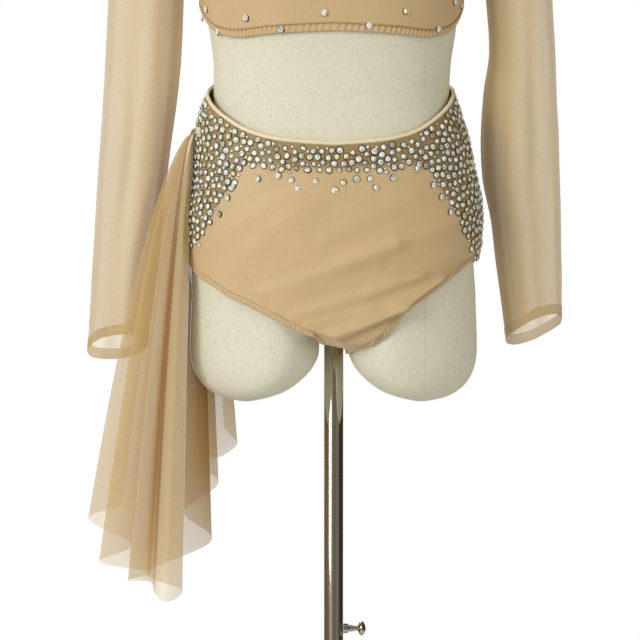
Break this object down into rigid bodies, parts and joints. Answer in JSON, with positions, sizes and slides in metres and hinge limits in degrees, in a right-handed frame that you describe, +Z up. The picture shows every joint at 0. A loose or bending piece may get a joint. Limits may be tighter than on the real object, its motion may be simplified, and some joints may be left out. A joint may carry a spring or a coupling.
{
  "type": "lyrical dance costume on a dress form",
  "caption": "Two-piece lyrical dance costume, a crop top with sheer sleeves and a brief with a side drape, worn by a limbless dress form on a pole stand.",
  "frame": {"origin": "centre of the base's underside, on the pole's axis", "axes": "+Z up, the costume's front faces -Y, the drape is at the -X hip"},
  "size_m": [0.5555, 0.34, 1.475],
  "materials": {
    "nude_lycra": "smooth four-way stretch lycra with a soft sheen",
    "sheer_mesh": "fine sheer stretch mesh, see-through in one layer",
    "satin_binding": "satin bias binding with a soft shine",
    "crystal": "foil-backed cut glass stones",
    "linen": "ivory plain-weave linen with fine slubs, glued over the form",
    "steel_tube": "polished steel tube",
    "base_steel": "satin steel plate"
  },
  "bodies": {
    "stand": {"base_disc": "base_steel", "pole_collar": "base_steel", "column_tube": "steel_tube", "screw_boss": "steel_tube"},
    "clamp": {"thumb_screw": "steel_tube"},
    "lift": {"inner_pole": "steel_tube"},
    "form": {"form_body": "linen", "top_front": "nude_lycra", "top_back": "nude_lycra", "underbust_band": "nude_lycra", "sleeve_left": "sheer_mesh", "sleeve_right": "sheer_mesh", "cuff_left": "sheer_mesh", "cuff_right": "sheer_mesh", "brief_front": "nude_lycra", "brief_back": "nude_lycra", "brief_gusset": "nude_lycra", "leg_band_left": "nude_lycra", "leg_band_right": "nude_lycra", "waist_binding": "satin_binding", "side_drape": "sheer_mesh", "drape_tab": "sheer_mesh", "hip_crystal": "crystal"}
  },
  "joints": [
    {"name": "height_slide", "type": "slide", "parent": "stand", "child": "lift", "axis": [0, 0, 1], "range_m": [0, 0.25]},
    {"name": "form_turn", "type": "hinge", "parent": "lift", "child": "form", "pos_m": [0, 0, 0.85], "axis": [0, 0, 1], "continuous": true},
    {"name": "screw_turn", "type": "hinge", "parent": "stand", "child": "clamp", "pos_m": [0.0113, 0, 0.467], "axis": [1, 0, 0], "continuous": true}
  ]
}
